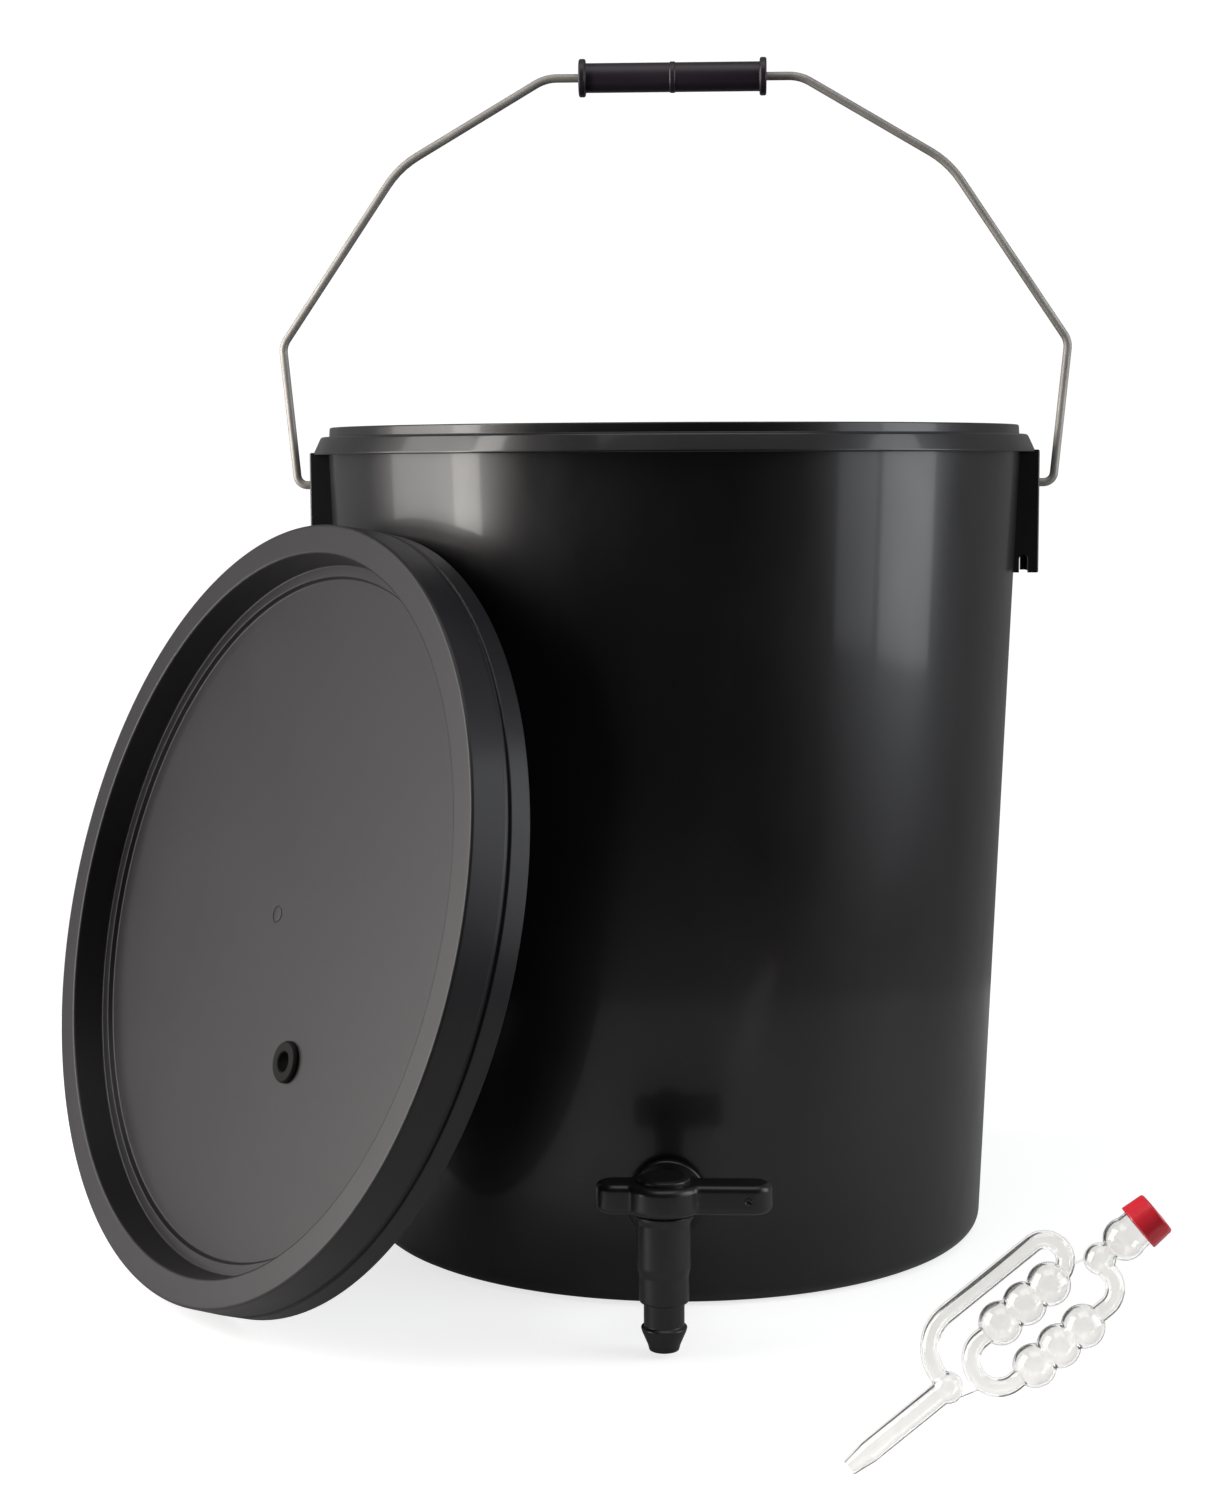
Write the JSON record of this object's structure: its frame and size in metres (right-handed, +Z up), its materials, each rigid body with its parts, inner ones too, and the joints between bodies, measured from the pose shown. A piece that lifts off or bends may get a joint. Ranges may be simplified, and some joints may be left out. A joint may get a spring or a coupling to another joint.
{
  "type": "fermenting bucket",
  "caption": "Black plastic home-brewing fermenting bucket with wire bail, barbed drain tap, push-fit lid set against its side, and a clear bubbler airlock.",
  "frame": {"origin": "centre of the flat base, on the floor the bucket stands on", "axes": "+Z up along the bucket's axis; the tap points along -Y; the bail's pivot line is the X axis, so the ears are at -X and +X"},
  "size_m": [0.4876, 0.5183, 0.5607],
  "materials": {
    "bucket_plastic": "glossy black polypropylene",
    "lid_plastic": "satin black polypropylene",
    "tap_plastic": "satin to glossy black",
    "wire": "galvanised wire",
    "grip_plastic": "satin black with a purple cast",
    "black_rubber": "matte",
    "clear_plastic": "clear polystyrene",
    "red_plastic": "glossy red"
  },
  "bodies": {
    "bucket": {"bucket_shell": "bucket_plastic", "tap_body": "tap_plastic", "tap_outer_washer": "black_rubber", "tap_inner_washer": "black_rubber", "tap_backnut": "tap_plastic"},
    "bail": {"bail_wire": "wire"},
    "grip": {"bail_grip": "grip_plastic"},
    "lid": {"lid_cover": "lid_plastic", "lid_grommet": "black_rubber"},
    "lever": {"tap_lever": "tap_plastic", "tap_seal_ring": "black_rubber"},
    "airlock": {"airlock_body": "clear_plastic"},
    "cap": {"airlock_cap": "red_plastic"}
  },
  "joints": [
    {"name": "bail_swing", "type": "hinge", "parent": "bucket", "child": "bail", "pos_m": [0, 0, 0.3598], "axis": [1, 0, 0], "range_deg": [-116, 90]},
    {"name": "grip_spin", "type": "hinge", "parent": "bail", "child": "grip", "pos_m": [0, 0, 0.5518], "axis": [1, 0, 0], "continuous": true},
    {"name": "lid_away", "type": "slide", "parent": "bucket", "child": "lid", "axis": [-0.788, -0.6157, 0], "range_m": [0, 0.25]},
    {"name": "tap_lever_turn", "type": "hinge", "parent": "bucket", "child": "lever", "pos_m": [0, -0.213, 0.05], "axis": [0, 0, -1], "range_deg": [0, 90]},
    {"name": "airlock_lift", "type": "slide", "parent": "bucket", "child": "airlock", "axis": [0, 0, 1], "range_m": [0, 0.15]},
    {"name": "airlock_cap_off", "type": "slide", "parent": "airlock", "child": "cap", "axis": [0.7738, 0.0877, 0.6273], "range_m": [0, 0.03]}
  ]
}
